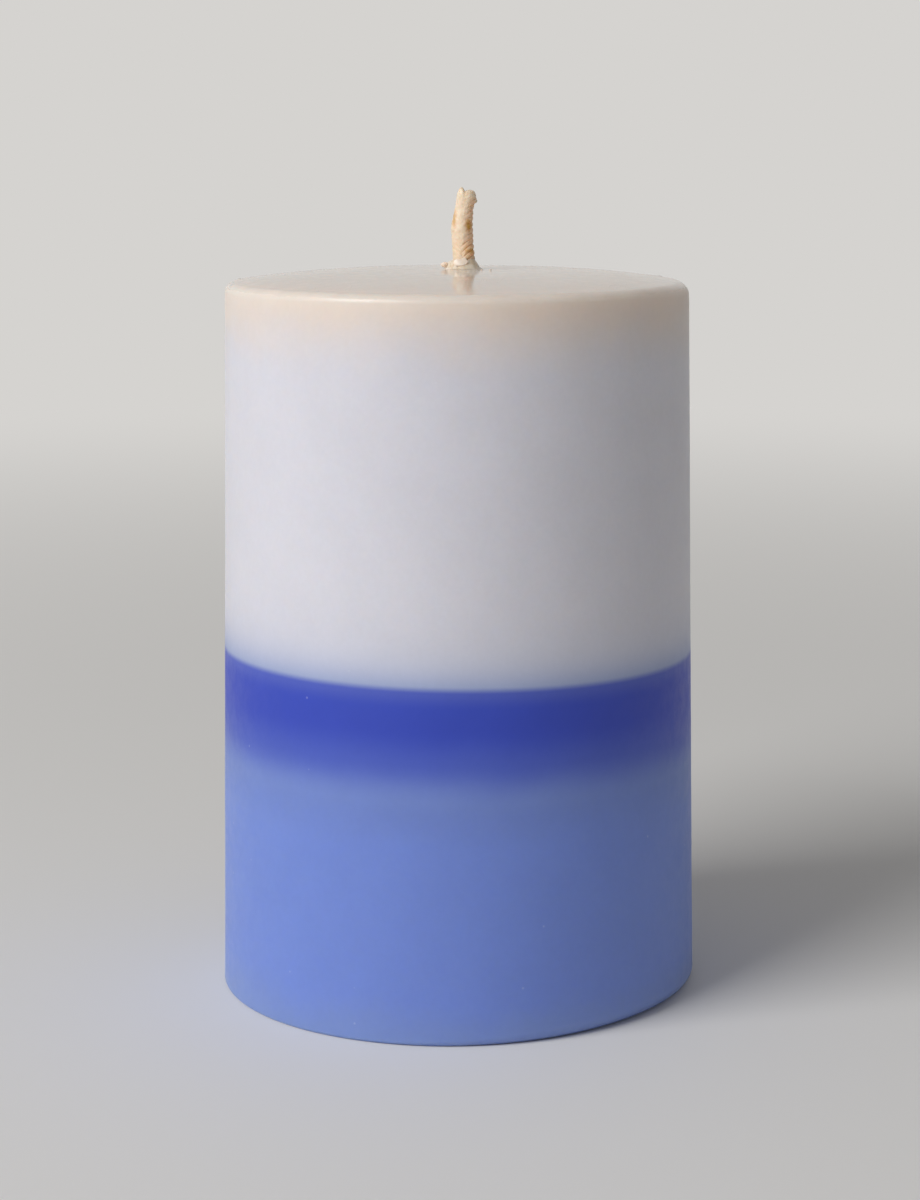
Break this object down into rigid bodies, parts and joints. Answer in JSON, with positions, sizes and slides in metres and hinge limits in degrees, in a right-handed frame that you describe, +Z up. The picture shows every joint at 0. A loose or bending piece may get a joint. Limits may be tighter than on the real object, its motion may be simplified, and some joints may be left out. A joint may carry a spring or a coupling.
{
  "type": "scented candle",
  "caption": "Free-standing round pillar candle cast in layers, pale wax over a deep-blue band over medium blue, with a braided wick and a metal wick holder in the base.",
  "frame": {"origin": "centre of the base, on the surface that the candle stands on", "axes": "+Z up along the candle, +X to the right and -Y to the front as in the picture"},
  "size_m": [0.0762, 0.0762, 0.1271],
  "materials": {
    "pale_wax": "cast paraffin wax, satin sides, glossy lightly scratched top face",
    "deep_blue_wax": "cast paraffin wax, satin",
    "medium_blue_wax": "cast paraffin wax, satin with fine pale specks",
    "collar_wax": "thin translucent wax drawn up round the wick",
    "primed_cotton": "braided cotton soaked in wax, cream with yellow-brown stains",
    "tinned_steel": "stamped tinplate"
  },
  "bodies": {
    "root": {"wax_base_layer": "medium_blue_wax", "wax_middle_band": "deep_blue_wax", "wax_top_layer": "pale_wax", "base_top_up_pour": "medium_blue_wax", "wick_sustainer": "tinned_steel", "wick": "primed_cotton", "wick_collar_wax": "collar_wax", "collar_bead": "collar_wax"}
  },
  "joints": []
}
